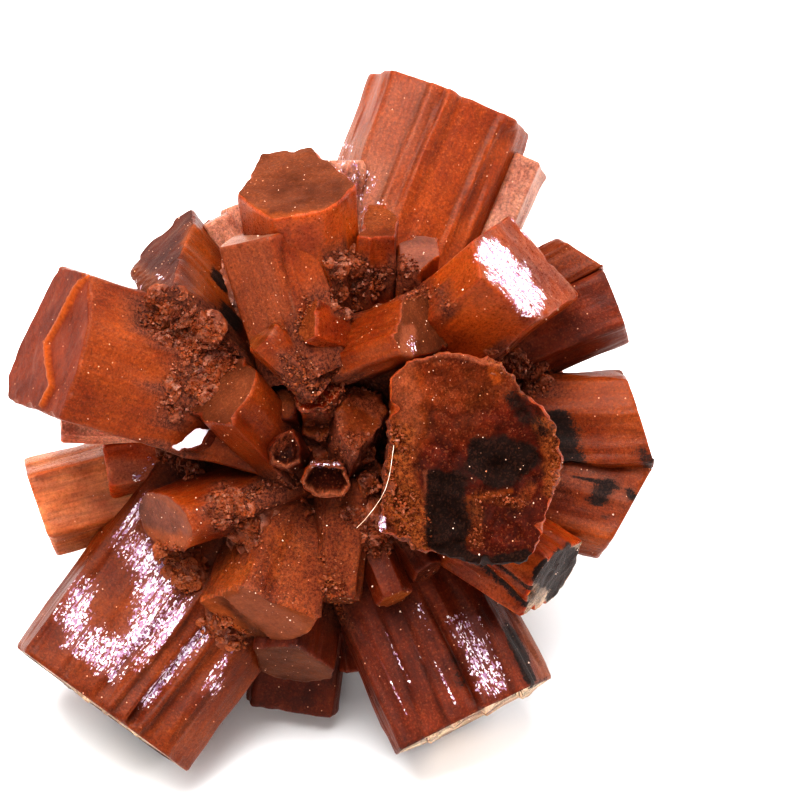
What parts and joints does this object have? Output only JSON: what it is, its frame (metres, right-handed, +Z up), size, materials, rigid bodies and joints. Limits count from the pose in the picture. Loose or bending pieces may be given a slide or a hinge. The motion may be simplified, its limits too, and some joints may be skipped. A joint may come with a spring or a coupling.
{
  "type": "aragonite crystal cluster",
  "caption": "Radiating cluster of rust-orange aragonite prisms grown together at one heart, standing on its lowest crystal ends.",
  "frame": {"origin": "on the resting surface, below the middle of the cluster's bounding box", "axes": "+Z up as the cluster rests, -Y towards the side it is shown from, +X to the right seen from that side"},
  "size_m": [0.0644, 0.0626, 0.0539],
  "materials": {
    "aragonite": "glassy to satin natural crystal faces, rust orange to red brown, translucent at thin edges, with fine striations, pits and a dull granular crust in the clefts"
  },
  "bodies": {
    "root": {"aragonite_cluster": "aragonite"}
  },
  "joints": []
}
